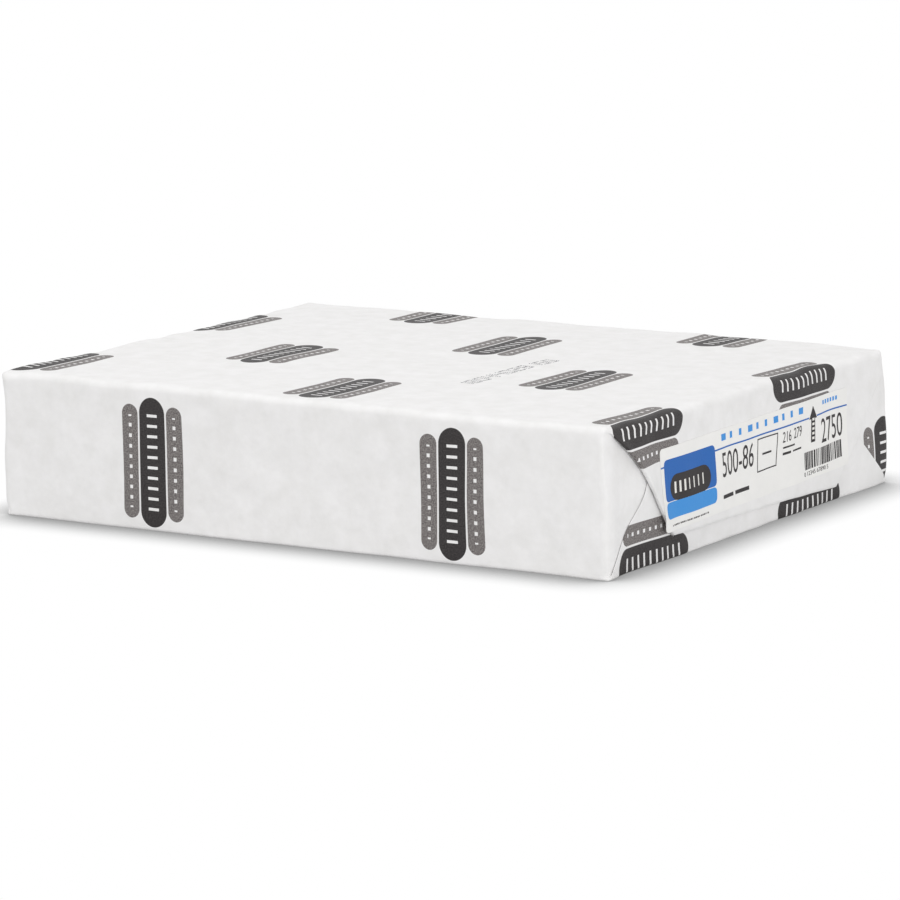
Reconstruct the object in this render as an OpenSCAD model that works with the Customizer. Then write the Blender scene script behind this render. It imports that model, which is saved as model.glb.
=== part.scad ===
// A wrapped ream of paper: a squared stack of sheets in a printed paper wrapper.
// The wrapper is one sheet, lapped underneath and closed at both ends by four folds:
// two side tucks, then the bottom flap, then the top flap over it.
// A paper label is stuck across the top flap of one end.
// Frame: origin at the middle of the base, X along the ream towards the labelled end, Z up.

/* [Sheets] */
// Length of one sheet, along X
sheet_l = 279.4; // [200:0.1:420]
// Width of one sheet, along Y
sheet_w = 215.9; // [190:0.1:300]
// Number of sheets in the ream
sheet_count = 500; // [450:10:600]
// Thickness of one sheet
sheet_t = 0.112; // [0.1:0.001:0.14]

/* [Wrapper] */
// What the wrapper adds above and below the stack
wrap_face = 0.25; // [0.1:0.05:1]
// What the wrapper adds at each long side
wrap_side = 0.5; // [0.1:0.05:1.5]
// What the side tuck adds at each end
wrap_end = 0.25; // [0.1:0.05:1]
// Outside radius of the four long edges
edge_r = 2.4; // [1.2:0.1:5]
// Outside radius of the four upright corners
corner_r = 3.2; // [1.2:0.1:6]
// Place of the lap's outer edge across the underside, along Y
lap_y = 40; // [20:1:50]
// Width of the wedge where the sheet comes down from the lap's edge to the base
lap_w = 30; // [15:1:40]
// Height of the step at the lap's outer edge
lap_step = 0.2; // [0.1:0.05:0.5]

/* [End folds] */
// Thickness of one folded flap, two layers of paper and the air between them
flap_t = 0.5; // [0.3:0.05:1]
// Height of the top flap's free edge above the base, at its middle
top_flap_gap = 8; // [4:0.5:16]
// Slope of the top flap's free edge, in degrees
top_flap_slope = 1.4; // [0:0.1:3]
// Distance of the bottom flap's hidden edge below the top face
bottom_flap_gap = 18; // [10:0.5:24]
// Outside radius of the fold from the top or bottom face into its flap
fold_r = 3; // [1:0.1:4]
// Radius of a flap's slanting side folds, where the paper turns under
side_fold_r = 0.45; // [0.1:0.05:0.5]

/* [Label] */
// Width of the label
label_w = 146; // [140:0.5:150]
// Height of the label
label_h = 31.75; // [29:0.25:34]
// Thickness of the label
label_t = 0.15; // [0.1:0.01:0.4]
// Corner radius of the label
label_r = 1.6; // [0.5:0.1:3]
// Tilt of the label, in degrees
label_tilt = 1.4; // [-1.5:0.1:1.5]
// How far the label's middle is beyond the end's middle, along Y
label_shift = 2.8; // [-8:0.1:8]
// How far the label's middle is above the end's middle
label_rise = -0.6; // [-1:0.1:1]

/* [Wrapper print] */
// Thickness of the ink fields
ink_t = 0.06; // [0.04:0.01:0.15]
// Width of a mark's dark middle bar
bar_w = 12.5; // [8:0.5:13]
// Length of a mark's dark middle bar, round the girth
bar_l = 50; // [30:1:52]
// Width of each grey bar beside it
side_bar_w = 7.5; // [4:0.5:9]
// Length of each grey bar
side_bar_l = 44; // [20:1:50]
// Gap between the bars
bar_gap = 0.8; // [0.5:0.1:2.5]
// Distance between columns of marks along X, before they are spread evenly
mark_pitch = 70; // [60:1:90]
// How far the last column's middle lies beyond the fold of the labelled end
mark_over = 2; // [0:0.5:6]
// How far the first column's middle lies inside the fold of the other end
mark_inside = 4; // [0:0.5:6]
// Distance between the marks of one column, round the girth
mark_drop = 120; // [112:1:136]
// Place of the outer columns' first mark, from the near top edge
mark_s = 30; // [28:0.5:34]

/* [Label print] */
// Width of the blue panel
panel_w = 38; // [30:0.5:40]
// Height of the blue panel
panel_h = 22.5; // [16:0.5:23]
// Corner radius of the panel
panel_r = 2; // [0.5:0.1:4]
// Distance of the panel from the label's left edge
panel_x = 2.5; // [1:0.1:4]
// Distance of the panel from the label's bottom edge
panel_y = 4.5; // [3:0.1:6]
// Width of the dark bar across the panel
panel_bar_w = 30; // [16:0.5:28.5]
// Height of the dark bar across the panel
panel_bar_h = 10; // [4:0.5:14]
// Distance of the rule from the label's top edge
rule_drop = 7.3; // [6:0.1:8]
// Width of the rule's line
rule_t = 0.6; // [0.3:0.05:1]
// Width of the box for a colour sample
swatch_w = 15; // [8:0.5:16]
// Height of the box for a colour sample
swatch_h = 13; // [8:0.5:14]
// Width of the line round the sample box
swatch_line = 0.5; // [0.3:0.05:1]
// Gap between the rule and the sample box
swatch_gap = 1.2; // [0.5:0.1:2]
// Distance of the sample box from the label's left edge
swatch_x = 71; // [66:0.5:74]
// Height of the upward arrow
arrow_h = 14.5; // [10:0.5:16]
// Width of the arrow's head
arrow_w = 6; // [4.5:0.1:7]
// Height of the arrow's head
arrow_head_h = 5; // [3:0.1:7]
// Width of the arrow's shaft
arrow_shaft_w = 3; // [1.5:0.1:4]
// Distance of the arrow's middle from the label's right edge
arrow_x = 29; // [27:0.5:32]
// Distance of the arrow's tip from the label's top edge
arrow_drop = 3; // [2:0.1:3.5]
// Width of the narrowest bar of the bar code
code_line = 0.38; // [0.3:0.01:0.4]
// Height of the bar code
code_h = 7; // [4:0.5:7.5]
// Number of bars in the bar code
code_bars = 24; // [12:1:26]
// Distance of the bar code from the label's right edge
code_x = 5; // [3:0.5:7]
// Distance of the bar code from the label's bottom edge
code_y = 4; // [3:0.1:5]

/* [Hidden] */
$fn = 48;

// Overall sizes of the wrapped ream
ream_l = sheet_l + 2 * (wrap_end + 2 * flap_t);
ream_w = sheet_w + 2 * wrap_side;
ream_h = sheet_count * sheet_t + 2 * wrap_face;
half_l = ream_l / 2;
half_w = ream_w / 2;

// The three levels of the folded end, as the block's length at each
tuck_level = ream_l - 4 * flap_t;
bottom_level = ream_l - 2 * flap_t;
top_level = ream_l;

// Where the flaps' prisms start, inside the long faces' flat run
flap_root = tuck_level / 2 - 2 * max(fold_r, corner_r);
// How far a cutting shape reaches past the surface it cuts
reach = 10;
// The ink stays this far above the base
base_clear = 0.1;
// Depth of a rounded edge at 45 degrees, as a share of its radius
edge_share = 1 - cos(45);

wrapper_white = [0.93, 0.93, 0.94];
label_white = [0.96, 0.95, 0.93];
ink_grey = [0.42, 0.42, 0.43];
ink_black = [0.17, 0.16, 0.17];
ink_blue = [0.16, 0.40, 0.75];

// Rectangle with rounded corners, centred
module round_rect(w, h, r) {
    square([w - 2 * r, h], center = true);
    square([w, h - 2 * r], center = true);
    for (x = [-1, 1], y = [-1, 1])
        translate([x * (w / 2 - r), y * (h / 2 - r)]) circle(r);
}

// Bar with round ends, w across and l along Y, centred
module round_bar(w, l) {
    square([w, l - w], center = true);
    for (y = [-1, 1])
        translate([0, y * (l - w) / 2]) circle(w / 2);
}

// The wrapped block at one level of the end folds, grown all round by g
module block(level, g = 0) {
    l = level + 2 * g;
    w = ream_w + 2 * g;
    h = ream_h + 2 * g;
    intersection() {
        translate([0, 0, -g]) linear_extrude(h) round_rect(l, w, corner_r + g);
        translate([-l / 2, 0, ream_h / 2]) rotate([90, 0, 90])
            linear_extrude(l) round_rect(w, h, edge_r + g);
        translate([0, w / 2, ream_h / 2]) rotate([90, 0, 0])
            linear_extrude(w) round_rect(l, h, fold_r + g);
    }
}

// Outlines of the flaps in the end's plane, Y to the right and Z up.
// Their slanting sides are the 45 degree folds that start in the end's corners;
// with an inset, the outline keeps that far inside them.
module top_flap_outline(inset = 0) {
    deep = ream_h - top_flap_gap / 4;
    top = half_w - inset * sqrt(2);
    intersection() {
        polygon([[-top, ream_h], [top, ream_h], [top - deep, ream_h - deep], [deep - top, ream_h - deep]]);
        above_free_edge();
    }
}

module bottom_flap_outline(inset = 0) {
    deep = ream_h - bottom_flap_gap;
    base = half_w - inset * sqrt(2);
    polygon([[-base, 0], [base, 0], [base - deep, deep], [deep - base, deep]]);
}

// The half plane above the top flap's crooked free edge
module above_free_edge() {
    translate([0, top_flap_gap]) rotate(-top_flap_slope)
        translate([-ream_w, 0]) square([2 * ream_w, 2 * ream_h]);
}

// The tucks show in the two triangles beside the flaps
module tuck_outline() {
    difference() {
        translate([-half_w, 0]) square([ream_w, ream_h]);
        top_flap_outline();
        bottom_flap_outline();
    }
}

// Stands an outline in the plane of one end, side +1 or -1, and carries it out through that end
module through_end(side, from = flap_root) {
    mirror([side < 0 ? 1 : 0, 0, 0])
        translate([from, 0, 0]) rotate([90, 0, 90])
            linear_extrude(half_l + reach - from) children();
}

// The room between a top flap's two slanting side folds, each rounded where the paper turns under.
// A fold starts in the end's upper corner. Its profile, X across the paper, is carried along it.
module between_side_folds(level) {
    x = level / 2;
    span = ream_w + ream_h;
    intersection_for (hand = [0, 1]) mirror([0, hand, 0])
        translate([0, -half_w, ream_h]) rotate([-45, 0, 0])
            translate([0, span, 0]) rotate([90, 0, 0]) linear_extrude(2 * span) {
                square([x - side_fold_r, span]);
                translate([0, side_fold_r]) square([x, span - side_fold_r]);
                translate([x - side_fold_r, side_fold_r]) circle(side_fold_r);
            }
}

// One end's flaps: the bottom flap lies on the tucks, and the top flap on both
module end_flaps() {
    intersection() {
        block(bottom_level);
        through_end(1) translate([-half_w, 0]) square([ream_w, ream_h - bottom_flap_gap]);
        translate([0, 0, ream_h]) mirror([0, 0, 1]) between_side_folds(bottom_level);
    }
    intersection() {
        block(top_level);
        through_end(1) above_free_edge();
        between_side_folds(top_level);
    }
}

// Stack and wrapper as one sealed solid, with the folds of both ends
module wrapped_ream() {
    color(wrapper_white)
    difference() {
        union() {
            block(tuck_level);
            end_flaps();
            mirror([1, 0, 0]) end_flaps();
        }
        lap_relief();
    }
}

// Long shallow wedge beside the lap's edge, on the underside
module lap_relief() {
    translate([-half_l - reach, 0, 0]) rotate([90, 0, 90]) linear_extrude(ream_l + 2 * reach)
        translate([lap_y, 0]) polygon([[0, -lap_step], [0, lap_step], [lap_w, 0], [lap_w, -lap_step]]);
}

// Outline of the label, its lower left corner at the origin
module label_outline() {
    translate([label_w / 2, label_h / 2]) round_rect(label_w, label_h, label_r);
}

// Moves a shape from the label's own corner to its place in the end's plane
module to_label_place() {
    translate([label_shift, ream_h / 2 + label_rise]) rotate(label_tilt)
        translate([-label_w / 2, -label_h / 2]) children();
}

// A flat sheet from distance x, t thick, with an outline in the labelled end's plane
module end_sheet(x, t) {
    translate([x, 0, 0]) rotate([90, 0, 90]) linear_extrude(t) children();
}

module end_label() {
    color(label_white)
    end_sheet(half_l, label_t) to_label_place() label_outline();
}

// Parts of one mark of the wrapper's print, X along the ream and Y round the girth
module dark_bar() {
    round_bar(bar_w, bar_l);
}

module grey_bars() {
    for (x = [-1, 1])
        translate([x * (bar_w / 2 + bar_gap + side_bar_w / 2), 0])
            round_bar(side_bar_w, side_bar_l);
}

// Columns of marks from end to end, and rows round the girth. Each second column is half a drop
// lower, and the number of steps is even, so both ends get columns of the same kind.
mark_half = bar_w / 2 + bar_gap + side_bar_w;
column_run = ream_l + mark_over - mark_inside;
columns = 2 * round(column_run / mark_pitch / 2);
rows = ceil((ream_w + ream_h) / mark_drop);
function column_x(i) = mark_inside - half_l + i / columns * column_run;
function row_s(i, j) = mark_s + (i % 2 == 0 ? 0 : mark_drop / 2) + j * mark_drop;

// Marks on the flat sheet, Y round the girth from the near top edge, between two girths.
// With a side of +1 or -1, only the column that runs over that end's edge.
module marks_between(low, high, side = 0) {
    for (i = [0:columns], j = [-rows:rows])
        if (row_s(i, j) + bar_l / 2 > low && row_s(i, j) - bar_l / 2 < high
            && side * column_x(i) + mark_half > abs(side) * half_l)
            translate([column_x(i), row_s(i, j)]) children();
}

// Skin of ink_t over the block at one level
module ink_skin(level) {
    difference() {
        block(level, ink_t);
        block(level);
    }
}

// Marks of the top face and of both long sides, folded round the long edges
module ink_on_faces() {
    top_lip = edge_share * max(edge_r, fold_r);
    side_lip = edge_share * max(edge_r, corner_r);
    intersection() {
        ink_skin(top_level);
        translate([0, -half_w, ream_h - top_lip]) linear_extrude(reach)
            marks_between(0, ream_w) children();
    }
    intersection() {
        ink_skin(tuck_level);
        union() {
            translate([0, side_lip - half_w, ream_h]) rotate([90, 0, 0]) linear_extrude(reach)
                marks_between(-ream_h, 0) children();
            translate([0, half_w + reach - side_lip, ream_w + ream_h]) rotate([90, 0, 0])
                linear_extrude(reach) mirror([0, 1])
                    marks_between(ream_w, ream_w + ream_h) children();
        }
        above_base();
    }
}

// The room above the base, where ink may lie
module above_base() {
    translate([-ream_l, -ream_w, base_clear]) cube([2 * ream_l, 2 * ream_w, ream_h]);
}

// Marks of one strip of the girth as they come to lie in an end's plane.
// The strip turns by an angle with its flap and moves to the flap's fold.
module folded_marks(side, low, high, turn, place) {
    translate(place) rotate(turn) mirror([side < 0 ? 1 : 0, 0])
        marks_between(low, high, side) children();
}

// Marks that run over one end's folds, onto the top flap, the bottom flap and the far tuck
module ink_on_end(side) {
    intersection() {
        ink_skin(top_level);
        through_end(side, top_level / 2 - edge_share * fold_r) difference() {
            intersection() {
                top_flap_outline(side_fold_r);
                folded_marks(side, 0, ream_w, -90, [-half_w, ream_h + half_l]) children();
            }
            if (side > 0) to_label_place() label_outline();
        }
    }
    intersection() {
        ink_skin(bottom_level);
        through_end(side, bottom_level / 2 - edge_share * fold_r) difference() {
            intersection() {
                bottom_flap_outline(side_fold_r);
                folded_marks(side, -ream_w - ream_h, -ream_h, 90, [-half_w - ream_h, -half_l])
                    children();
            }
            top_flap_outline();
        }
        above_base();
    }
    intersection() {
        ink_skin(tuck_level);
        through_end(side, tuck_level / 2 - edge_share * corner_r) intersection() {
            tuck_outline();
            folded_marks(side, ream_w, ream_w + ream_h, 180, [half_w + half_l, ream_w + ream_h])
                children();
        }
        above_base();
    }
}

module wrapper_print() {
    ink_on_faces() children();
    for (side = [-1, 1])
        ink_on_end(side) children();
}

module wrapper_print_black() {
    color(ink_black) wrapper_print() dark_bar();
}

module wrapper_print_grey() {
    color(ink_grey) wrapper_print() grey_bars();
}

// Blue panel with a dark bar across it, at the label's left end
module panel_middle() {
    translate([panel_x + panel_w / 2, panel_y + panel_h / 2]) children();
}

module panel_bar() {
    panel_middle() rotate(90) round_bar(panel_bar_h, panel_bar_w);
}

// Upward arrow, its shaft through the rule
module arrow() {
    translate([label_w - arrow_x, label_h - arrow_drop]) {
        polygon([[0, 0], [arrow_w / 2, -arrow_head_h], [-arrow_w / 2, -arrow_head_h]]);
        translate([-arrow_shaft_w / 2, -arrow_h]) square([arrow_shaft_w, arrow_h - arrow_head_h / 2]);
    }
}

// Outlined box for a sample of the paper's colour, hung below the rule
module swatch() {
    translate([swatch_x, label_h - rule_drop - rule_t - swatch_gap - swatch_h]) difference() {
        square([swatch_w, swatch_h]);
        translate([swatch_line, swatch_line])
            square([swatch_w - 2 * swatch_line, swatch_h - 2 * swatch_line]);
    }
}

// Bars and gaps of the bar code, one to three lines wide by a made-up rule
function code_bar(i) = code_line * (1 + (i * 5 + floor(i / 3)) % 3);
function code_gap(i) = code_line * (1 + (i * 4 + floor(i / 5)) % 2);
function code_start(i) = i == 0 ? 0 : code_start(i - 1) + code_bar(i - 1) + code_gap(i - 1);

module bar_code() {
    code_l = code_start(code_bars - 1) + code_bar(code_bars - 1);
    translate([label_w - code_x - code_l, code_y])
        for (i = [0:code_bars - 1])
            translate([code_start(i), 0]) square([code_bar(i), code_h]);
}

// Ink on the label's face
module label_ink() {
    end_sheet(half_l + label_t, ink_t) to_label_place() children();
}

module label_print_blue() {
    color(ink_blue) label_ink() difference() {
        union() {
            panel_middle() round_rect(panel_w, panel_h, panel_r);
            translate([0, label_h - rule_drop - rule_t]) square([label_w, rule_t]);
        }
        panel_bar();
        arrow();
    }
}

module label_print_black() {
    color(ink_black) label_ink() {
        panel_bar();
        arrow();
        swatch();
        bar_code();
    }
}

wrapped_ream();
end_label();
wrapper_print_grey();
wrapper_print_black();
label_print_blue();
label_print_black();
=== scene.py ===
import math
import bmesh
import bpy
import numpy as np
from mathutils import Matrix


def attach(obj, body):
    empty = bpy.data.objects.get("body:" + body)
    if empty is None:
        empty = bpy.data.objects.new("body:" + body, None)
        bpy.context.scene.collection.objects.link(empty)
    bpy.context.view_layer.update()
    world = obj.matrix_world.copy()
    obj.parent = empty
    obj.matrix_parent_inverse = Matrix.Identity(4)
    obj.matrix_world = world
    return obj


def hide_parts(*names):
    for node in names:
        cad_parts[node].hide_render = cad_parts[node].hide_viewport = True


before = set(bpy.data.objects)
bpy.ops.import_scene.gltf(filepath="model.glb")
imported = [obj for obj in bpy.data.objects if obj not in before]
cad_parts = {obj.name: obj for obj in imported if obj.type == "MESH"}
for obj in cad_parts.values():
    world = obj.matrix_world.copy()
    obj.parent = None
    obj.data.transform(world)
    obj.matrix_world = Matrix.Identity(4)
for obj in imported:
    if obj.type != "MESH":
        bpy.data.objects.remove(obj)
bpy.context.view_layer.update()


# Camera. Solved on the ream's corners in the photo, those of the base first; the lens is given
# for a 36 mm sensor.
MM = 0.001


def photo_camera():
    """The camera looks along -back, turned by roll about that axis, in the row frame. It stands
    that distance from the middle of the base, moved sideways and up in its own directions."""
    azimuth, elevation, roll = math.radians(33.611), math.radians(10.428), math.radians(-1.365)
    distance, pan, lift = 1973.633 * MM, -0.114 * MM, 19.561 * MM
    focal_pixels, photo_pixels = 4899.392, 900
    right = np.array([math.cos(azimuth), math.sin(azimuth), 0.0])
    back = np.array([math.sin(azimuth) * math.cos(elevation),
                     -math.cos(azimuth) * math.cos(elevation), math.sin(elevation)])
    up = np.cross(back, right)
    right, up = (right * math.cos(roll) + up * math.sin(roll),
                 up * math.cos(roll) - right * math.sin(roll))
    data = bpy.data.cameras.new("photo_camera")
    data.sensor_width = 36.0
    data.lens = focal_pixels / photo_pixels * data.sensor_width
    data.clip_end = 100.0
    camera = bpy.data.objects.new("photo_camera", data)
    place = Matrix.Identity(4)
    for i in range(3):
        place[i][0], place[i][1], place[i][2] = right[i], up[i], back[i]
        place[i][3] = pan * right[i] + lift * up[i] + distance * back[i]
    camera.matrix_world = place
    bpy.context.scene.collection.objects.link(camera)
    bpy.context.scene.camera = camera


photo_camera()


# Light. A white room: an even white sky, a large soft lamp above, and one in front of the
# labelled end's near corner.
def srgb(code):
    """Linear RGBA of a hex colour."""
    parts = [int(code[i:i + 2], 16) / 255 for i in (1, 3, 5)]
    return [p / 12.92 if p <= 0.04045 else ((p + 0.055) / 1.055) ** 2.4 for p in parts] + [1.0]


def add(tree, kind, inputs=(), **settings):
    """Adds a node with its settings. An input's key is its name or number, and its value a number
    or a socket."""
    node = tree.nodes.new("ShaderNode" + kind)
    for key, value in settings.items():
        setattr(node, key, value)
    for key, value in dict(inputs).items():
        if isinstance(value, bpy.types.NodeSocket):
            tree.links.new(value, node.inputs[key])
        else:
            node.inputs[key].default_value = value
    return node


def maths(tree, operation, *values):
    """Output of one Math node."""
    return add(tree, "Math", dict(enumerate(values)), operation=operation).outputs[0]


def white_room():
    """White for the camera, a little dimmer as light."""
    world = bpy.data.worlds.new("white_room")
    bpy.context.scene.world = world
    world.use_nodes = True
    tree = world.node_tree
    tree.nodes.clear()
    path = add(tree, "LightPath")
    seen = maths(tree, "MAXIMUM", path.outputs["Is Camera Ray"], path.outputs["Is Glossy Ray"])
    seen = maths(tree, "MAXIMUM", seen, path.outputs["Is Transmission Ray"])
    sky = add(tree, "Background", {"Color": srgb("#ffffff"), "Strength": 0.70})
    plain = add(tree, "Background", {"Color": srgb("#ffffff"), "Strength": 1.0})
    mix = add(tree, "MixShader", {0: seen, 1: sky.outputs[0], 2: plain.outputs[0]})
    add(tree, "OutputWorld", {"Surface": mix.outputs[0]})


def soft_lamp(name, azimuth, elevation, distance, size, energy):
    """A round lamp that faces the ream from that direction; azimuth 0 is in front, and 90 at the
    labelled end."""
    turn, rise = math.radians(azimuth), math.radians(elevation)
    lamp = bpy.data.lights.new(name, "AREA")
    lamp.shape = "DISK"
    lamp.size = size
    lamp.energy = energy
    holder = bpy.data.objects.new(name, lamp)
    facing = Matrix.Rotation(turn, 4, "Z") @ Matrix.Rotation(math.pi / 2 - rise, 4, "X")
    holder.matrix_world = facing @ Matrix.Translation((0, 0, distance))
    bpy.context.scene.collection.objects.link(holder)


white_room()
soft_lamp("lamp_above", -35, 66, 2.2, 1.6, 14.5)
soft_lamp("lamp_front", 60, 12, 2.2, 0.7, 11.3)
bpy.context.scene.view_settings.view_transform = "Standard"


# Floor. A plain pale floor. To the camera it glows white, with a painted soft shadow beside the
# ream:
# the glow is dimmed by ambient occlusion, not darkened by the lamps.
def pale_floor():
    """A flat square, 40 m wide. As light it is matt and pale. To the camera it glows white, dimmed
    where the ream hides part of the sky within 25 mm: a painted soft shadow."""
    half = 20.0
    reach = 25 * MM
    mesh = bpy.data.meshes.new("floor")
    mesh.from_pydata([(-half, -half, 0), (half, -half, 0), (half, half, 0), (-half, half, 0)],
                     [], [(0, 1, 2, 3)])
    floor = bpy.data.objects.new("floor", mesh)
    bpy.context.scene.collection.objects.link(floor)
    material = bpy.data.materials.new("pale_floor")
    material.use_nodes = True
    tree = material.node_tree
    tree.nodes.clear()
    path = add(tree, "LightPath")
    looked_at = maths(tree, "MAXIMUM", path.outputs["Is Camera Ray"], path.outputs["Is Glossy Ray"])
    looked_at = maths(tree, "MAXIMUM", looked_at, path.outputs["Is Transmission Ray"])
    matt = add(tree, "BsdfDiffuse", {"Color": srgb("#dedede")})
    open_sky = add(tree, "AmbientOcclusion", {"Distance": reach}, samples=12)
    # Painted shadow: the camera's white glow is dimmed by ambient occlusion near the ream
    painted_shadow = add(tree, "MapRange", {0: open_sky.outputs["AO"], 1: 0.5, 2: 0.97, 3: 0.34, 4: 1.0})
    seen = add(tree, "Emission", {"Color": srgb("#ffffff"), "Strength": painted_shadow.outputs[0]})
    both = add(tree, "MixShader", {0: looked_at, 1: matt.outputs[0], 2: seen.outputs[0]})
    add(tree, "OutputMaterial", {"Surface": both.outputs[0]})
    mesh.materials.append(material)


pale_floor()


# Wrapper. One sheet of printed white paper, 80 g/m2, drawn round 500 sheets. It is lapped and
# glued underneath and folded shut at both ends: side tucks, then the bottom flap, then the top
# flap over it. The mesh is one closed sheet: rings round the girth that run on over the ends.
LENGTH, WIDTH, HEIGHT = 281.9, 216.9, 56.5
HALF_L, HALF_W = LENGTH / 2, WIDTH / 2
LONG_EDGE = 3.0       # rounding of the two upper long edges
FLAP_FOLD = 3.4       # rounding of the fold into the top flap
TUCK_FOLD = {-1: 3.2, 1: 2.2}  # rounding of the upright folds, near and far
BASE_EDGE = 1.2       # rounding of all edges at the base, which the weight keeps sharp
BOTTOM_LEVEL = 0.5    # how far the bottom flap lies inside the top flap's face
TUCK_LEVEL = 1.0      # and the side tucks
FLAT_HALF = 45.0      # columns of the mesh within this distance of the middle run straight
FLAP_END = 48.5       # mean depth of the top flap
BOTTOM_DEPTH = 38.0   # depth of the bottom flap, its edge hidden
CAP_DEPTH = 12.0      # the sheet is closed this far inside each end, out of sight
APEX = {-1: 25.4, 1: 32.5}  # depth at which both flaps' side folds meet, near and far
FOLD_ROOM = 0.85      # a flap's columns end this far inside its side fold, where the nose starts
LAP_Y, LAP_WIDTH, LAP_STEP = 40.0, 30.0, 0.2  # the lap underneath: its edge, width and step
# Where the photo shows the top's corners, from where a true block has them
TOP_CORNERS = {(-1, -1): (-0.2, 0.3, 2.2), (1, -1): (0.3, 0.3, 0.5),
               (1, 1): (-0.4, -0.6, -1.2), (-1, 1): (-1.2, -1.1, -0.6)}


def smooth(x):
    """Smooth step from 0 to 1 as x goes from 0 to 1."""
    x = np.clip(x, 0.0, 1.0)
    return x * x * (3 - 2 * x)


def larger(a, b, soft=1.0):
    """The larger of two, rounded where they meet."""
    return (a + b + np.sqrt((a - b) ** 2 + soft ** 2)) / 2


def near_slant(depth):
    """The top flap's near side fold: its distance from the near long side at that depth.
    It runs at 45 degrees with a bow of 4.7 mm, the sine of pi times (depth / 36) to the 0.8."""
    return depth + 4.7 * np.sin(math.pi * (np.clip(depth, 0, 54) / 36) ** 0.8)


def far_slant(depth):
    """The top flap's far side fold, from the far long side: 45 degrees, less half a sine wave of
    8.5 mm over 62 mm of depth, because the paper stands out here."""
    return depth - 8.5 * np.sin(math.pi * np.clip(depth, 0, 62) / 62)


def low_near_slant(height):
    """The bottom flap's near side fold: its distance from the near long side. That is 0.8 of the
    height, and a bell of 5 mm about 26 mm up, less what the bell has at the base."""
    return 0.8 * height + 5.0 * (np.exp(-((height - 26) / 11) ** 2) - math.exp(-(26 / 11) ** 2))


def low_far_slant(height):
    """The bottom flap's far side fold, from the far long side: straight, at 45 degrees."""
    return height


def free_edge(y):
    """Height of the top flap's free edge: crooked by a straight slope, and a little wavy."""
    return 8.0 - 0.0245 * y + 0.25 * np.sin(y / 17.0 + 0.6)


def flap_lift(y, depth):
    """How far the top flap stands off. It is the sum of a lift beside each side fold, which dies
    away with the distance from it, and a wavy lift towards the free edge."""
    from_near = y + HALF_W - near_slant(depth)
    from_far = HALF_W - y - far_slant(depth)
    near = 2.2 * np.exp(-np.clip(from_near, 0, None) / 9) * smooth(depth / 12)
    far = 0.35 * np.exp(-np.clip(from_far, 0, None) / 12) * smooth(depth / 14)
    free = 0.3 * smooth((depth - 36) / 14) * (1 + 0.6 * np.sin(y / 23.0 + 1.1))
    return near + far + free


def plane_waves(points, seed, count, shortest, longest, size):
    """Sum of plane waves of random direction, length and phase, as a shift of each point. The
    lengths are even in their logarithm, and each wave pushes in a random direction of its own."""
    rng = np.random.default_rng(seed)
    heading = rng.normal(size=(3, count))
    heading /= np.linalg.norm(heading, axis=0)
    number = 2 * math.pi / np.exp(rng.uniform(math.log(shortest), math.log(longest), count))
    phase = rng.uniform(0, 2 * math.pi, count)
    push = rng.normal(size=(count, 3)) * size / math.sqrt(count)
    return np.cos(points @ (heading * number) + phase) @ push


def worn(points):
    """The points of the true block moved as hand-wrapped paper lies.
    Long shallow waves and small dents everywhere; shorter lumps near the folds; the top's corners
    off by a millimetre or two, as the photo shows them, and the far one of the labelled end
    pressed in, with a soft crease beside it; the upright edges stand out, where the tucks' folds
    draw the paper tight. The underside stays flat on the floor. Each of these is a shift in mm,
    weighted by a bell of the distance from its edge, or by a smooth step up from the base."""
    x, y, z = points.T
    shift = plane_waves(points, 11, 26, 40, 160, 0.34) + plane_waves(points, 31, 40, 18, 60, 0.13)
    at_end = HALF_L - np.abs(x)
    at_side = HALF_W - np.abs(y)
    at_top, at_base = HEIGHT - z, z
    fold = np.exp(-(at_end ** 2 + at_top ** 2) / 50) + np.exp(-(at_end ** 2 + at_side ** 2) / 40)
    fold += 0.6 * np.exp(-(at_side ** 2 + at_top ** 2) / 40)
    fold += 0.8 * np.exp(-(at_end ** 2 + at_base ** 2) / 60)
    shift += fold[:, None] * plane_waves(points, 5, 40, 14, 42, 0.28)
    flap = np.exp(-(at_end / 3) ** 2)
    shift[:, 0] += flap * plane_waves(points, 23, 30, 22, 60, 0.45)[:, 0]
    shift[:, 2] *= smooth(z / 6)
    for (end, hand), move in TOP_CORNERS.items():
        share = (1 + end * x / HALF_L) * (1 + hand * y / HALF_W) / 4 * z / HEIGHT
        shift += share[:, None] * np.array(move)
    upright = np.exp(-(at_end ** 2 + at_side ** 2) / 140)
    fuller = np.where(x < 0, 1.2 * smooth(z / 6) * (1 - z / HEIGHT), 0)
    shift[:, 0] += np.sign(x) * upright * (0.9 + 0.8 * smooth(z / 6) + fuller)
    shift[:, 1] += np.sign(y) * upright * 0.5
    pressed = (x - HALF_L) ** 2 + (y - HALF_W) ** 2 + (z - HEIGHT) ** 2
    shift += np.exp(-pressed / 110)[:, None] * np.array([-1.2, -1.2, -0.8])
    crease = np.exp(-((at_side - 7) / 2.2) ** 2) * flap * smooth((z - 20) / 16)
    shift[:, 0] += np.where((x > 0) & (y > 0), 0.45 * crease, 0)
    moved = points + shift
    moved[:, 2] = np.maximum(moved[:, 2], 0.0)
    return moved


def over_fold(t, level, radius):
    """Where the sheet lies at station t of a strip that folds over the end's edge.
    Beyond the fold t is the depth below the edge; on the faces it is the distance from the end,
    and the two are joined over the last 30 mm. Gives the distance along X, the depth, and u on
    the sheet."""
    on_face, on_end = level + radius, (math.pi / 2 - 1) * radius
    run = t + on_face + (on_end - on_face) * smooth((t + 30) / 28)
    start = HALF_L - level - radius
    turn = np.clip(run / radius, 0, math.pi / 2)
    x = start + np.minimum(run, 0) + radius * np.sin(turn)
    depth = radius * (1 - np.cos(turn)) + np.maximum(run - math.pi / 2 * radius, 0)
    return x, depth, start + run


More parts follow.
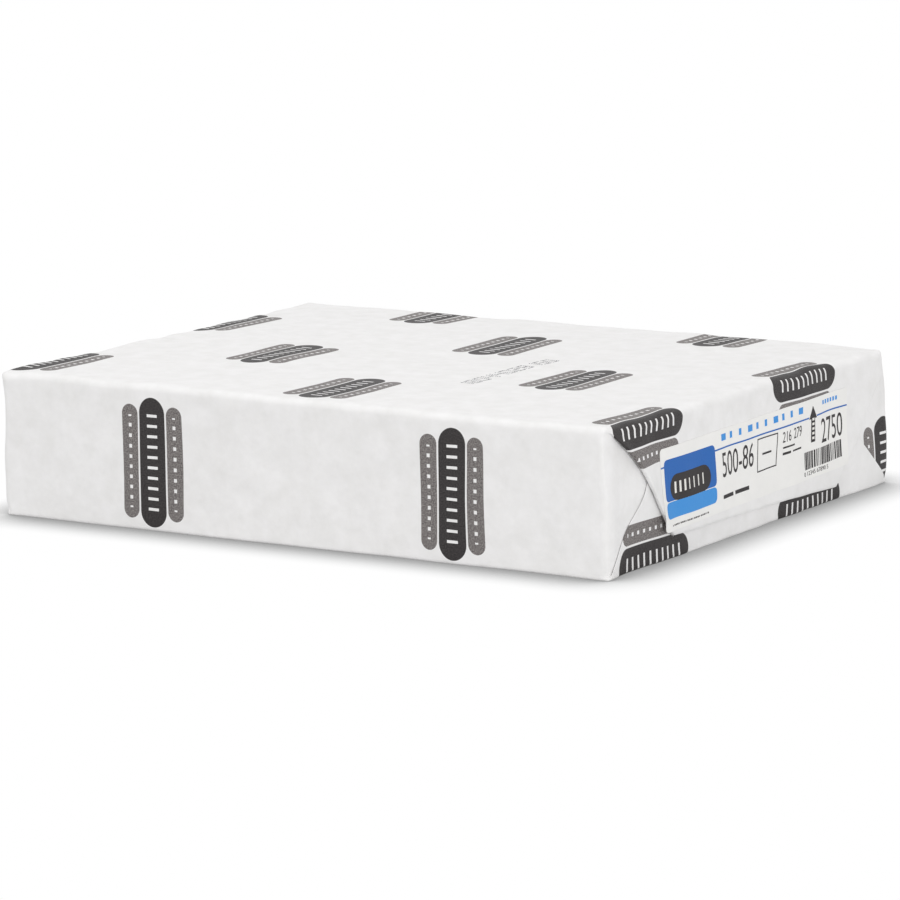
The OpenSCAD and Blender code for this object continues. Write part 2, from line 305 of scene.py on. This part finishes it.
def spread(columns, near_limit, far_limit):
    """Columns across the ream, squeezed near both sides so that they end at the two limits."""
    edge = columns[0, -1]
    near = -FLAT_HALF - (-FLAT_HALF - columns) * (-FLAT_HALF - near_limit) / (edge - FLAT_HALF)
    far = FLAT_HALF + (columns - FLAT_HALF) * (far_limit - FLAT_HALF) / (edge - FLAT_HALF)
    return np.where(columns < -FLAT_HALF, near, np.where(columns > FLAT_HALF, far, columns))


# The rounded corner between two strips, from the upper strip's last column to the lower strip's
# first. On the ends it is a flap's side fold: a nose, and the paper that turns back under it.
# Pairs: distance outward from the fold's line, and depth as a share of the flap's thickness.
NOSE = np.array([(-0.6, 0.0), (-0.25, 0.03), (-0.07, 0.2), (0.0, 0.5), (-0.07, 0.8), (-0.25, 0.97),
                 (-0.9, 1.0), (-1.9, 1.05), (-1.9, 2.0)])
UNDER = 1.9 * math.sqrt(2)


def corner(outer, inner, outer_uv, inner_uv, outward, grows, folded, thickness):
    """Points between two strips, for all stations: a round edge on the faces, a nose on the ends.
    The round edge is a quarter ellipse about the corner's centre. folded goes from 0 to 1; grows
    tells whether the sheet's coordinate s grows or falls outward."""
    share = np.linspace(0, 1, len(NOSE))[None, 1:-1, None]
    a, b = outer[:, None, :], inner[:, None, :]
    tip = np.stack([np.maximum(a[..., 0], b[..., 0]), b[..., 1], a[..., 2]], axis=-1)
    angle = share * math.pi / 2
    edge = a + b - tip + (tip - b) * np.cos(angle) + (tip - a) * np.sin(angle)
    nose = np.repeat(a, len(NOSE) - 2, axis=1).copy()
    nose[..., 1] += outward * (NOSE[None, 1:-1, 0] - NOSE[0, 0]) * math.sqrt(2)
    drop = np.minimum(NOSE[1:-1, 1][None, :], 1.0) * thickness[:, None]
    beyond = np.maximum(NOSE[1:-1, 1] - 1.0, 0)[None, :]
    drop = drop + beyond * (a[..., 0] - b[..., 0] - thickness[:, None])
    nose[..., 0] -= drop
    way = folded[:, None, None]
    flat = outer_uv[:, None, :] + (inner_uv - outer_uv)[:, None, :] * share
    around = np.cumsum(np.hypot(np.diff(NOSE[:, 0]) * math.sqrt(2), np.diff(NOSE[:, 1])))[:-1]
    held = outer_uv[:, None, :] + np.stack([0 * around, grows * around], axis=-1)
    return edge * (1 - way) + nose * way, flat * (1 - way) + held * way


def half_sheet(side):
    """Half of the wrapper, from the middle of the ream out over the end at side +1 or -1.
    Gives points and sheet coordinates, both as stations by places round the girth."""
    edge_steps = np.arange(1, 5)
    t = np.concatenate([np.linspace(-HALF_L, -14, 62), np.linspace(-13, -4, 8),
                        np.linspace(-3.4, 4.0, 22), np.linspace(5.0, FLAP_END, 38),
                        FLAP_END + 0.05 * edge_steps])
    returned = np.concatenate([np.zeros(len(t) - len(edge_steps)), edge_steps]).astype(int)
    t = t[:, None]

    # Top: down to the free edge, then round the paper's thickness and back under it
    top = np.linspace(-HALF_W + LONG_EDGE, HALF_W - LONG_EDGE, 120)
    limit_near = -HALF_W + larger(LONG_EDGE, near_slant(np.maximum(t, 0)) + FOLD_ROOM)
    limit_far = HALF_W - larger(LONG_EDGE, far_slant(np.maximum(t, 0)) + FOLD_ROOM)
    y = spread(top[None, :], limit_near, limit_far)
    deep, stretch_from = HEIGHT - free_edge(y * side), 22
    stretched = np.minimum(t, FLAP_END)
    stretched = stretched + (deep - FLAP_END) * smooth((stretched - stretch_from)
                                                       / (FLAP_END - stretch_from))
    x, depth, u = over_fold(stretched, 0.0, FLAP_FOLD)
    x = x + flap_lift(y, depth) * (t > 0)
    x = x - np.array([0, 0.06, 0.16, 0.2, 0.3])[returned][:, None]  # inward round the edge
    z = HEIGHT - depth + np.array([0, -0.05, 0.0, 0.8, 2.0])[returned][:, None]  # and back up
    top_points = np.stack([x, y, z], axis=-1)
    top_uv = np.stack([u, y + HALF_W], axis=-1)

    # Bottom: up under the top flap. Its rows tilt so that they meet the top flap's at both apexes
    across = np.concatenate([np.linspace(-HALF_W + BASE_EDGE, LAP_Y - 0.05, 42),
                             np.linspace(LAP_Y + 0.05, HALF_W - BASE_EDGE, 20)])
    share = (across[None, :] + HALF_W) / WIDTH
    meet = APEX[-1] + (APEX[1] - APEX[-1]) * share
    rise = HEIGHT - meet
    early = t * (1 + (rise / meet - 1) * smooth(t / 10))
    late = rise + (BOTTOM_DEPTH - rise) * (t - meet) / (FLAP_END - meet)
    climb = np.where(t < meet, early, late)
    x, depth_b, u = over_fold(climb, BOTTOM_LEVEL, BASE_EDGE)
    climb_near, climb_far = climb[:, :1], climb[:, -1:]
    base_near = -HALF_W + larger(BASE_EDGE, low_near_slant(np.maximum(climb_near, 0)) + FOLD_ROOM)
    base_far = HALF_W - larger(BASE_EDGE, low_far_slant(np.maximum(climb_far, 0)) + FOLD_ROOM)
    y = spread(across[None, :], base_near, base_far)
    lap = LAP_STEP * np.clip(1 - (y - LAP_Y) / LAP_WIDTH, 0, 1) * (y > LAP_Y)
    floor_level = depth_b + lap * (1 - smooth(climb / 3))
    bottom_points = np.stack([x + 0 * y, y, floor_level + 0 * y], axis=-1)
    bottom_uv = np.stack([u + 0 * y, -HEIGHT - (y + HALF_W)], axis=-1)

    # Side tucks: two triangles whose upper and lower edges lie hidden under the flaps
    rows = np.linspace(0, 1, 30)[None, :]

    def tuck(hand, slant, low_slant, lower):
        """One side tuck, hand being -1 for the near one and 1 for the far one. Each row runs from
        under the top flap's side fold to under the bottom flap's, in equal steps, and lies
        straight between them. Past the apex, where both flaps cover it, it rises to them."""
        x, depth_t, u = over_fold(t, TUCK_LEVEL, TUCK_FOLD[hand])
        on_end = smooth(t / 4)
        high = HEIGHT - larger(LONG_EDGE, np.maximum(t, 0))
        low = larger(BASE_EDGE, np.maximum(lower, 0))
        over = (slant(np.maximum(t, 0)) - np.maximum(t, 0) + UNDER) * on_end
        below = (low_slant(np.maximum(lower, 0)) - np.maximum(t, 0) + UNDER) * on_end
        inward = depth_t + over * (1 - rows) + below * rows
        z = high * (1 - rows) + low * rows
        raised = (TUCK_LEVEL - BOTTOM_LEVEL - 0.06) * smooth((t - APEX[hand]) / 3)
        points = np.stack([x + raised + 0 * rows, hand * (HALF_W - inward), z], axis=-1)
        s = -(HEIGHT - z) if hand < 0 else WIDTH + (HEIGHT - z)
        return points, np.stack([u + (inward - depth_t), s], axis=-1)

    near_points, near_uv = tuck(-1, near_slant, low_near_slant, climb_near)
    far_points, far_uv = tuck(1, far_slant, low_far_slant, climb_far)

    # Corners, in order round the girth: far top, far bottom, near bottom, near top
    folded = smooth((t[:, 0] - 0.2) / 4)
    thick_top = 0.66 * (top_points[:, 0, 0] - near_points[:, 0, 0])
    thick_far = 0.5 * (top_points[:, -1, 0] - far_points[:, 0, 0])
    thick_low = 0.6 * (bottom_points[:, 0, 0] - near_points[:, -1, 0])
    far_end_uv = far_uv[:, -1] - np.array([0.0, 2 * (WIDTH + HEIGHT)])
    far_top, far_top_uv = corner(top_points[:, -1], far_points[:, 0], top_uv[:, -1], far_uv[:, 0],
                                 1, 1, folded, thick_far)
    far_low, far_low_uv = corner(bottom_points[:, -1], far_points[:, -1], bottom_uv[:, -1],
                                 far_end_uv, 1, -1, folded, thick_low)
    near_low, near_low_uv = corner(bottom_points[:, 0], near_points[:, -1], bottom_uv[:, 0],
                                   near_uv[:, -1], -1, 1, folded, thick_low)
    near_top, near_top_uv = corner(top_points[:, 0], near_points[:, 0], top_uv[:, 0], near_uv[:, 0],
                                   -1, -1, folded, thick_top)
    points = np.concatenate([top_points, far_top, far_points, far_low[:, ::-1],
                             bottom_points[:, ::-1], near_low, near_points[:, ::-1],
                             near_top[:, ::-1]], axis=1)
    uv = np.concatenate([top_uv, far_top_uv, far_uv, far_low_uv[:, ::-1],
                         bottom_uv[:, ::-1], near_low_uv, near_uv[:, ::-1],
                         near_top_uv[:, ::-1]], axis=1)
    points[..., 0] *= side
    uv[..., 0] *= side
    return points, uv


def wrapper():
    """The two halves joined at the ream's middle as one closed mesh: four-sided faces between the
    rings, and a fan of triangles that shuts the sheet inside each end."""
    right, right_uv = half_sheet(1)
    left, left_uv = half_sheet(-1)
    points = np.concatenate([left[:0:-1], right])
    uv = np.concatenate([left_uv[:0:-1], right_uv])
    stations, girth = points.shape[:2]
    flat = worn(points.reshape(-1, 3))
    caps = np.stack([flat[:girth].mean(axis=0), flat[-girth:].mean(axis=0)])
    caps[:, 0] = [CAP_DEPTH - HALF_L, HALF_L - CAP_DEPTH]
    vertices = np.concatenate([flat, caps]) * MM
    i, j = np.meshgrid(np.arange(stations - 1), np.arange(girth), indexing="ij")
    after = (j + 1) % girth
    quads = np.stack([i * girth + j, (i + 1) * girth + j, (i + 1) * girth + after,
                      i * girth + after], axis=-1).reshape(-1, 4)
    ring = np.arange(girth)
    start_cap = np.stack([ring, (ring + 1) % girth, np.full(girth, stations * girth)], axis=-1)
    last = (stations - 1) * girth
    end_cap = np.stack([last + (ring + 1) % girth, last + ring,
                        np.full(girth, stations * girth + 1)], axis=-1)
    mesh = bpy.data.meshes.new("wrapper")
    mesh.from_pydata(vertices.tolist(), [],
                     quads.tolist() + start_cap.tolist() + end_cap.tolist())
    all_uv = np.concatenate([uv.reshape(-1, 2), np.zeros((2, 2))]) * MM
    corners = np.empty(len(mesh.loops), dtype=np.int64)
    mesh.loops.foreach_get("vertex_index", corners)
    layer = mesh.uv_layers.new(name="sheet")
    layer.data.foreach_set("uv", all_uv[corners].ravel())
    mesh.polygons.foreach_set("use_smooth", np.ones(len(mesh.polygons), dtype=bool))
    wrap = bpy.data.objects.new("wrapper", mesh)
    bpy.context.scene.collection.objects.link(wrap)
    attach(wrap, "root")
    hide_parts("wrapped_ream", "wrapper_print_grey", "wrapper_print_black")
    return wrap


def new_material(name):
    """An empty material and its tree, with a Principled surface."""
    material = bpy.data.materials.new(name)
    material.use_nodes = True
    tree = material.node_tree
    tree.nodes.clear()
    surface = add(tree, "BsdfPrincipled")
    add(tree, "OutputMaterial", {"Surface": surface.outputs[0]})
    return material, tree, surface


def printed_paper():
    """Bleached kraft wrapping paper, matt, with flexographic print in a dark and a grey ink.
    To the eye: white with faint 8 mm clouds and shallow 22 mm dents; the ink flat but grainy,
    because it sinks unevenly into the fibres, and its edges a little ragged. Fibres and grain are
    drawn at 1.1 and 0.5 mm, coarser than real ones, so that they show.
    The print is a lattice on the sheet's own coordinates. Each mark is a dark bar between two grey
    ones, all with round ends: the distance from the bar's middle line, less half its width. Rows
    of bare dashes run through the bars."""
    material, tree, surface = new_material("printed_wrapping_paper")
    sheet = add(tree, "UVMap", uv_map="sheet")
    split = add(tree, "SeparateXYZ", {0: sheet.outputs[0]})
    u, s = split.outputs[0], split.outputs[1]
    pitch, drop, first_u, first_s = 69.975 * MM, 120 * MM, -136.95 * MM, 30 * MM
    grey_at, ragged = 10.8, 0.16 * MM
    column = maths(tree, "ROUND", maths(tree, "DIVIDE", maths(tree, "SUBTRACT", u, first_u), pitch))
    du = maths(tree, "SUBTRACT", u, maths(tree, "MULTIPLY_ADD", column, pitch, first_u))
    odd = maths(tree, "PINGPONG", column, 1.0)
    start = maths(tree, "MULTIPLY_ADD", odd, drop / 2, first_s)
    row = maths(tree, "ROUND", maths(tree, "DIVIDE", maths(tree, "SUBTRACT", s, start), drop))
    ds = maths(tree, "SUBTRACT", s, maths(tree, "MULTIPLY_ADD", row, drop, start))
    across, along = maths(tree, "ABSOLUTE", du), maths(tree, "ABSOLUTE", ds)
    bleed = add(tree, "TexNoise", {"Vector": sheet.outputs[0], "Scale": 1 / (0.4 * MM),
                                   "Detail": 2.0})
    spreads = maths(tree, "MULTIPLY_ADD", bleed.outputs[0], ragged, -ragged / 2)

    def bar(offset, wide, long):
        """1 inside a bar with round ends, 0 outside, and its edge 0.12 mm soft."""
        side = maths(tree, "SUBTRACT", across, offset * MM)
        end = maths(tree, "MAXIMUM", maths(tree, "SUBTRACT", along, (long - wide) / 2 * MM), 0.0)
        away = maths(tree, "SQRT", maths(tree, "ADD", maths(tree, "MULTIPLY", side, side),
                                         maths(tree, "MULTIPLY", end, end)))
        inside = maths(tree, "SUBTRACT", maths(tree, "ADD", away, spreads), wide / 2 * MM)
        edge = {0: inside, 1: 0.06 * MM, 2: -0.06 * MM, 3: 0.0, 4: 1.0}
        return add(tree, "MapRange", edge).outputs[0]

    dark, grey = bar(0, 12.5, 50), bar(grey_at, 7.5, 44)

    def dash(offset, wide, period, long, thick):
        """1 on a row of dashes that run across the mark, every so many mm along it."""
        within = maths(tree, "MODULO", along, period * MM)
        step = maths(tree, "ABSOLUTE", maths(tree, "SUBTRACT", within, period / 2 * MM))
        side = maths(tree, "ABSOLUTE", maths(tree, "SUBTRACT", across, offset * MM))
        inside = maths(tree, "MULTIPLY", maths(tree, "LESS_THAN", step, thick / 2 * MM),
                       maths(tree, "LESS_THAN", side, wide / 2 * MM))
        return maths(tree, "MULTIPLY", inside, maths(tree, "LESS_THAN", along, long / 2 * MM))

    light = maths(tree, "MAXIMUM", dash(0, 5.0, 4.0, 40, 1.1), dash(grey_at, 1.4, 4.0, 36, 1.4))
    place = add(tree, "TexCoord").outputs["Object"]
    cloud = add(tree, "TexNoise", {"Vector": place, "Scale": 1 / (8 * MM), "Detail": 4.0,
                                   "Roughness": 0.6})
    fibre = add(tree, "TexNoise", {"Vector": place, "Scale": 1 / (1.1 * MM), "Detail": 2.0})
    thin = add(tree, "MapRange", {0: cloud.outputs[0], 1: 0.3, 2: 0.7})
    paper = add(tree, "MixRGB", {0: thin.outputs[0], 1: srgb("#f2f1f1"), 2: srgb("#eae9e8")})
    grain = add(tree, "TexNoise", {"Vector": sheet.outputs[0], "Scale": 1 / (0.5 * MM),
                                   "Detail": 1.0})
    cover = add(tree, "MapRange", {0: grain.outputs[0], 1: 0.36, 2: 0.64}).outputs[0]
    grey_ink = add(tree, "MixRGB", {0: cover, 1: srgb("#55504f"), 2: srgb("#8f8a88")})
    dark_ink = add(tree, "MixRGB", {0: cover, 1: srgb("#1d191a"), 2: srgb("#3c3838")})
    with_grey = add(tree, "MixRGB", {0: grey, 1: paper.outputs[0], 2: grey_ink.outputs[0]})
    with_dark = add(tree, "MixRGB", {0: dark, 1: with_grey.outputs[0], 2: dark_ink.outputs[0]})
    printed = add(tree, "MixRGB", {0: light, 1: with_dark.outputs[0], 2: paper.outputs[0]})
    tree.links.new(printed.outputs[0], surface.inputs["Base Color"])
    surface.inputs["Roughness"].default_value = 0.55
    surface.inputs["Specular IOR Level"].default_value = 0.35
    crumple = add(tree, "TexNoise", {"Vector": place, "Scale": 1 / (22 * MM), "Detail": 3.0,
                                     "Roughness": 0.55})
    relief = add(tree, "Bump", {"Height": crumple.outputs[0], "Strength": 0.8,
                                "Distance": 1.4 * MM})
    fine = add(tree, "Bump", {"Height": fibre.outputs[0], "Strength": 0.12, "Distance": 0.1 * MM,
                              "Normal": relief.outputs[0]})
    tree.links.new(fine.outputs[0], surface.inputs["Normal"])
    return material


wrapper().data.materials.append(printed_paper())


# Label. One piece of coated paper stuck across the top flap. It follows the flap, and its lower
# left corner hangs over the flap's side fold. Its print is laid on it as thin films of ink.
LABEL_W, LABEL_H, LABEL_CORNER = 146.0, 31.75, 1.6
LABEL_SHIFT, LABEL_TILT = 2.8, math.radians(0.95)  # its middle's place across, and its slope
LABEL_FACE = 0.2      # the label's face above the flap
INK = 0.05            # thickness of the ink films


def on_label(a, c, above):
    """Lays points of the label on the end: a to the right and c up from its lower left corner.
    They are turned by the label's tilt about its middle, lifted with the flap, and let down by
    up to 0.5 mm where the label hangs over the flap's side fold."""
    right, up = a - LABEL_W / 2, c - LABEL_H / 2
    y = LABEL_SHIFT + right * math.cos(LABEL_TILT) - up * math.sin(LABEL_TILT)
    z = HEIGHT / 2 + right * math.sin(LABEL_TILT) + up * math.cos(LABEL_TILT)
    over = near_slant(HEIGHT - z) - HALF_W - y
    x = HALF_L + flap_lift(y, HEIGHT - z) + above - 0.5 * smooth(over / 6)
    points = np.stack(np.broadcast_arrays(x, y, z), axis=-1)
    return worn(points.reshape(-1, 3)).reshape(points.shape)


def film(left, low, wide, high, round_by=0.0, above=LABEL_FACE, thick=INK, taper=0.0):
    """A closed film with round corners, laid on the label: its points and its triangles.
    It narrows evenly from its lower edge by taper, a share of its width.
    Its rows lie 2 mm apart, closer at the corners. Each is shortened at both ends by r less the
    root of r squared less (r - d) squared, d being the row's distance from the film's lower or
    upper edge. The same grid stands twice, the thickness apart, and a strip joins the two rims."""
    turn = np.linspace(0, math.pi / 2, 5)
    rows = max(2, math.ceil((high - 2 * round_by) / 2) + 1)
    middle = np.linspace(round_by, high - round_by, rows)
    if round_by:
        bend = round_by * (1 - np.cos(turn))
        middle = np.concatenate([bend[:-1], middle, high - bend[-2::-1]])
    near_end = np.minimum(np.minimum(middle, high - middle), round_by)
    inset = round_by - np.sqrt(np.maximum(round_by ** 2 - (round_by - near_end) ** 2, 0))
    inset = inset + taper * wide / 2 * middle / high
    share = np.linspace(0, 1, max(2, math.ceil(wide / 2) + 1))
    a = left + inset[:, None] + share * (wide - 2 * inset[:, None])
    c = low + middle[:, None] + 0 * share
    m, n = a.shape
    vertices = np.concatenate([on_label(a, c, above + thick).reshape(-1, 3),
                               on_label(a, c, above).reshape(-1, 3)])
    i, j = np.meshgrid(np.arange(m - 1), np.arange(n - 1), indexing="ij")
    face = np.stack([i * n + j, i * n + j + 1, (i + 1) * n + j + 1, (i + 1) * n + j],
                    axis=-1).reshape(-1, 4)
    rim = np.concatenate([np.arange(n), np.arange(1, m) * n + n - 1,
                          (m - 1) * n + np.arange(n - 2, -1, -1), np.arange(m - 2, 0, -1) * n])
    after = np.roll(rim, -1)
    side = np.stack([rim, rim + m * n, after + m * n, after], axis=-1)
    quads = np.concatenate([face, face[:, ::-1] + m * n, side])
    return vertices, np.concatenate([quads[:, [0, 1, 2]], quads[:, [0, 2, 3]]])


def digits(text, left, low, high, narrow):
    """Plain numerals of that height, narrowed, from left and low: points and triangles.
    Their filled outlines get the ink's thickness, and are then laid on the label. The font's
    figures are 0.69 of its size high."""
    curve = bpy.data.curves.new("digits", "FONT")
    curve.body = text
    curve.size = high / 0.69
    curve.extrude = INK / 2
    curve.resolution_u = 4
    holder = bpy.data.objects.new("digits", curve)
    mesh = bpy.data.meshes.new_from_object(holder)
    welded = bmesh.new()
    welded.from_mesh(mesh)
    bmesh.ops.remove_doubles(welded, verts=welded.verts, dist=1e-4)
    bmesh.ops.triangulate(welded, faces=welded.faces)
    welded.to_mesh(mesh)
    welded.free()
    flat = np.empty(len(mesh.vertices) * 3, dtype=np.float32)
    mesh.vertices.foreach_get("co", flat)
    flat = flat.reshape(-1, 3).astype(float)
    corners = np.empty(len(mesh.loops), dtype=np.int32)
    mesh.loops.foreach_get("vertex_index", corners)
    bpy.data.meshes.remove(mesh)
    bpy.data.objects.remove(holder)
    bpy.data.curves.remove(curve)
    a = left + (flat[:, 0] - flat[:, 0].min()) * narrow
    c, above = low + flat[:, 1], LABEL_FACE + INK / 2 + flat[:, 2]
    return on_label(a, c, above), corners.reshape(-1, 3)


def joined(name, parts, material, slot, *nodes):
    """One object from several parts, each its points in mm and its triangles. It rides on the ream,
    takes the material given, and stands for the CAD nodes. The slot is not used."""
    first = np.cumsum([0] + [len(points) for points, _ in parts[:-1]])
    points = np.concatenate([points for points, _ in parts]) * MM
    triangles = np.concatenate([faces + start for (_, faces), start in zip(parts, first)])
    mesh = bpy.data.meshes.new(name)
    mesh.from_pydata(points.tolist(), [], triangles.tolist())
    mesh.materials.append(material)
    piece = bpy.data.objects.new(name, mesh)
    bpy.context.scene.collection.objects.link(piece)
    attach(piece, "root")
    if nodes:
        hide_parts(*nodes)


def coated_paper():
    """Coated label paper, calendered: to the eye warmer and smoother than the wrapper, with a
    faint sheen and 6 mm clouds."""
    material, tree, surface = new_material("coated_label_paper")
    place = add(tree, "TexCoord").outputs["Object"]
    cloud = add(tree, "TexNoise", {"Vector": place, "Scale": 1 / (6 * MM), "Detail": 3.0})
    paper = add(tree, "MixRGB", {0: cloud.outputs[0], 1: srgb("#f5f4f1"), 2: srgb("#edecea")})
    tree.links.new(paper.outputs[0], surface.inputs["Base Color"])
    surface.inputs["Roughness"].default_value = 0.4
    return material


def ink(name, light, dark):
    """Thermal or offset ink, a thin dry film: to the eye flat and matt, its cover a little uneven
    between two shades. The grain is drawn at 0.5 mm so that it shows."""
    material, tree, surface = new_material(name)
    place = add(tree, "TexCoord").outputs["Object"]
    grain = add(tree, "TexNoise", {"Vector": place, "Scale": 1 / (0.5 * MM), "Detail": 1.0})
    cover = add(tree, "MixRGB", {0: grain.outputs[0], 1: srgb(dark), 2: srgb(light)})
    tree.links.new(cover.outputs[0], surface.inputs["Base Color"])
    surface.inputs["Roughness"].default_value = 0.5
    surface.inputs["Specular IOR Level"].default_value = 0.2
    return material


def label():
    """The label and its ink. Each film is given as its left, low, width and height, in mm from the
    label's lower left corner, and each row of films as such a film and its step."""
    face, over = LABEL_FACE, LABEL_FACE + INK
    joined("label", [film(0, 0, LABEL_W, LABEL_H, LABEL_CORNER, 0.05, face - 0.05)],
           coated_paper(), "label_paper", "end_label")

    # Blue: the panel's upper part, and the rule in three pieces, its gaps at the panel and arrow
    rule, panel_left, panel_low, panel_wide = 24.15, 2.5, 4.5, 38
    blue = [film(panel_left, panel_low + 6.5, panel_wide, 16, 2.0), film(0, rule, 2.5, 0.6),
            film(40.5, rule, 73.3, 0.6), film(120, rule, 26, 0.6)]
    joined("label_blue_panel", blue, ink("blue_ink", "#2f6cba", "#2862ad"), "blue_ink",
           "label_print_blue")

    # Pale blue: the panel's foot, two rows of dashes above the rule, and one in the foot's place
    pale = [film(panel_left, panel_low, panel_wide, 6.2, 2.0)]
    pale += [film(46 + 6.6 * i, 27.2, 1.7 if i % 3 else 3.4, 2.6) for i in range(10)]
    pale += [film(125.6 + 2.3 * i, 27.9, 1.3, 1.7) for i in range(6)]
    pale += [film(7 + 3.6 * i, panel_low + 2.2, 1.8, 1.9) for i in range(9)]
    joined("label_pale_blue", pale, ink("pale_blue_ink", "#4a9ae2", "#3f8fd8"), "blue_ink")

    # Black: the panel's oval, the arrow's shaft, the box and its dash, the figures, the dashes
    black = [film(6.5, 10.75, 30, 10, 4.9, over)]
    black += [film(115.5, 14.25, 3, 12.1)]
    black += [film(73.2, 9.8, 15.6, 0.5), film(73.2, 22.6, 15.6, 0.5),
              film(73.21, 10.32, 0.48, 12.26), film(88.31, 10.32, 0.48, 12.26),
              film(77.5, 16, 7, 0.8)]
    black += [digits("500-86", 45.5, 13.2, 9.4, 0.66), digits("216", 92.6, 18.3, 4.2, 0.75),
              digits("279", 101.4, 18.5, 4.2, 0.75), digits("2750", 123.6, 12.6, 9.6, 0.70)]
    black += [film(93, 15.8, 9, 0.7), film(93, 13.2, 6, 1.0), film(100.6, 13.4, 7, 0.7)]
    black += [film(45.5, 4.6, 8, 1.5), film(55.2, 4.6, 11, 1.5)]
    black += [film(6 + 1.3 * i, 1.6, 0.9 if i % 4 else 0.5, 0.6) for i in range(22)]

    # Black: 24 upright bars, one to three lines wide and one or two apart, that spell no code
    line = 0.38
    bars = [(line * (1 + (i * 5 + i // 3) % 3), line * (1 + (i * 4 + i // 5) % 2))
            for i in range(24)]
    run = sum(wide + gap for wide, gap in bars) - bars[-1][1]
    at = LABEL_W - 5 - run
    for wide, gap in bars:
        black.append(film(at, 4.0, wide, 7.0))
        at += wide + gap
    black.append(digits("0 12345 67890 5", LABEL_W - 6 - run, 1.5, 1.7, 1.15))

    # Black: the arrow's head, which tapers almost to a point
    black.append(film(114, 23.75, 6, 5, 0, face, 2 * INK, taper=0.97))
    joined("label_black_print", black, ink("label_black_ink", "#3a3637", "#272425"),
           "label_black_ink", "label_print_black")

    # White: bare strokes on the oval and on the arrow's shaft
    white = [film(9.5 + 3.5 * i, 13.6, 1.3 if i < 3 else 0.7, 4.3, 0, over + INK)
             for i in range(7)]
    white += [film(116.2, 15.4 + 1.9 * i, 1.6, 1.0, 0, over + INK) for i in range(5)]
    joined("label_white_strokes", white, ink("bare_label_paper", "#f1efea", "#e9e7e2"),
           "label_paper")


label()


# Code. A number sprayed on the wrapper by an ink jet, as small dots of thin grey ink.
# Its figures stand on a grid five wide and seven high, each made of the strokes of an eight, from
# one point to another, less the strokes that it leaves out.
STROKES = {"top": (0, 0, 4, 0), "middle": (0, 3, 4, 3), "base": (0, 6, 4, 6), "left": (0, 0, 0, 3),
           "right": (4, 0, 4, 3), "low_left": (0, 3, 0, 6), "low_right": (4, 3, 4, 6)}
LEFT_OUT = {"0": ["middle"], "1": ["top", "middle", "base", "left", "low_left"],
            "2": ["left", "low_right"], "4": ["top", "base", "low_left"],
            "5": ["right", "low_left"], "6": ["right"],
            "7": ["middle", "base", "left", "low_left"], "8": []}


def sprayed_code():
    """Dots as thin eight-sided discs. The number reads along Y, its digits' tops towards -X."""
    number, pitch, radius, start_x, start_y = "18044028150", 0.95, 0.34, 41.5, -47.0
    digit_pitch, scatter, thick = 6.2, 0.06, 0.07
    dots = {(place, a + (c - a) * k // 4, b + (d - b) * k // 4)
            for place, figure in enumerate(number)
            for name, (a, b, c, d) in STROKES.items() if name not in LEFT_OUT[figure]
            for k in range(5)}
    digit, column, row = np.array(sorted(dots)).T
    rng = np.random.default_rng(3)
    x = start_x - (6 - row) * pitch + rng.normal(0, scatter, len(row))
    y = start_y + digit * digit_pitch + column * pitch + rng.normal(0, scatter, len(row))
    turn = np.arange(8) * math.pi / 4
    ring = np.stack([np.cos(turn), np.sin(turn)], axis=-1) * radius
    flat = np.stack([x, y], axis=-1)[:, None, :] + ring[None]
    upper = np.concatenate([flat, np.full(flat.shape[:2] + (1,), HEIGHT + thick)], axis=-1)
    lower = upper - np.array([0, 0, thick])
    vertices = worn(np.concatenate([upper, lower], axis=1).reshape(-1, 3))
    k = np.arange(8)
    after, middle = (k + 1) % 8, np.arange(1, 7)
    disc = np.concatenate([np.stack([0 * middle, middle, middle + 1], axis=-1),
                           np.stack([8 + 0 * middle, middle + 9, middle + 8], axis=-1),
                           np.stack([k, k + 8, after + 8], axis=-1),
                           np.stack([k, after + 8, after], axis=-1)])
    faces = (disc[None] + 16 * np.arange(len(row))[:, None, None]).reshape(-1, 3)
    joined("sprayed_code", [(vertices, faces)], ink("sprayed_ink", "#848488", "#6a6a6e"),
           "grey_ink")


sprayed_code()
